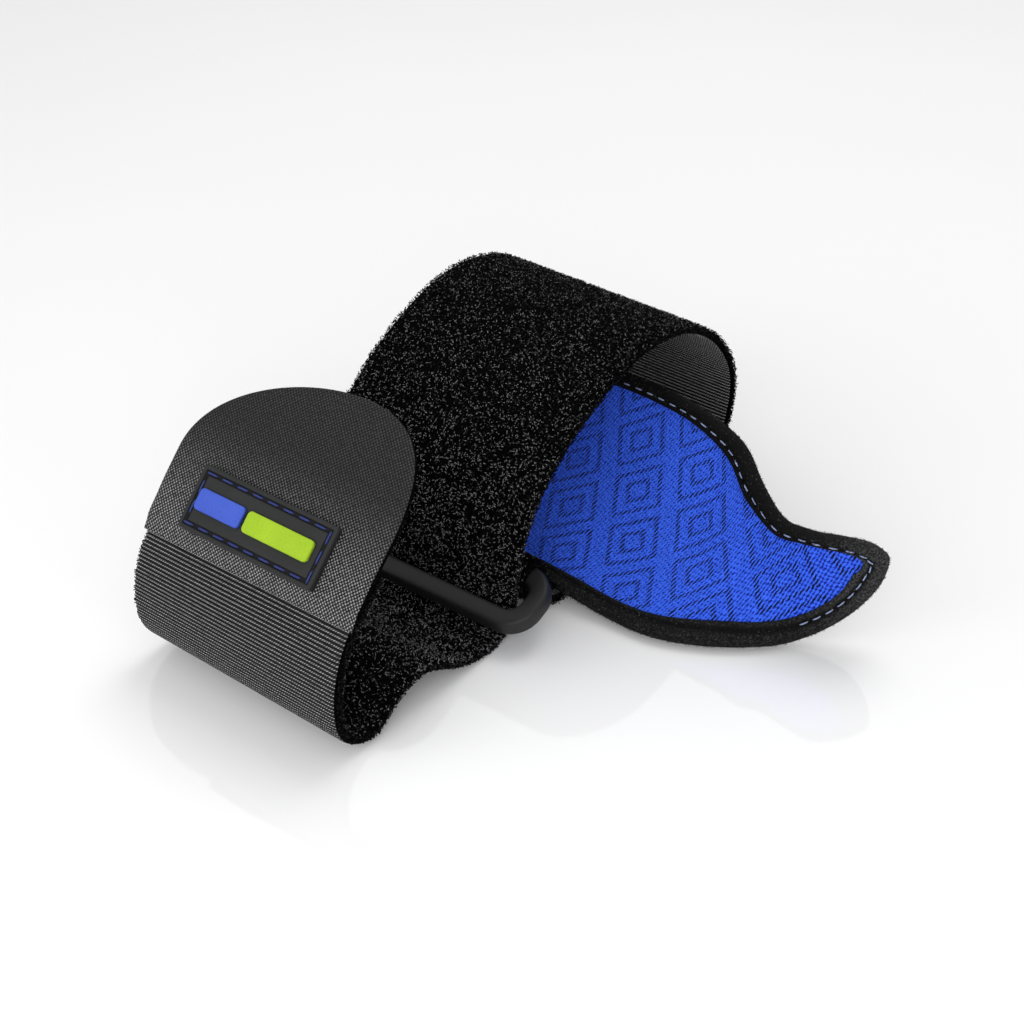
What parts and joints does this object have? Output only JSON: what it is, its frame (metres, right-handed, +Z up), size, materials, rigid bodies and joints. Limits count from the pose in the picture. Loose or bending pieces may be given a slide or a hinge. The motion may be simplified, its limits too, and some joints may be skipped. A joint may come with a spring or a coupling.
{
  "type": "wrist brace",
  "caption": "Wrist brace: a pile-faced elastic strap looped through a rectangular ring, with a woven hook tab, a rubber patch and a curved, bound, knit-lined pad inside the loop.",
  "frame": {"origin": "on the surface it lies on, under the middle of its bounding box", "axes": "+X across the strap, towards the pad's free tip; +Y from the folded end to the loop's back; +Z up"},
  "size_m": [0.1556, 0.1728, 0.0743],
  "materials": {
    "pile_elastic": "matte loop pile, ribbed on the other face",
    "woven_nylon": "plain weave, slight sheen",
    "label_rubber": "satin",
    "bar_blue": "satin",
    "bar_lime": "satin",
    "ring_plastic": "matte",
    "pad_pile": "matte loop pile",
    "blue_knit": "matte knit",
    "binding_tape": "matte"
  },
  "bodies": {
    "root": {"strap": "pile_elastic", "hook_tab": "woven_nylon", "label": "label_rubber", "label_bar_blue": "bar_blue", "label_bar_lime": "bar_lime", "ring": "ring_plastic", "pad_shell": "pad_pile", "pad_lining": "blue_knit", "binding": "binding_tape"}
  },
  "joints": []
}
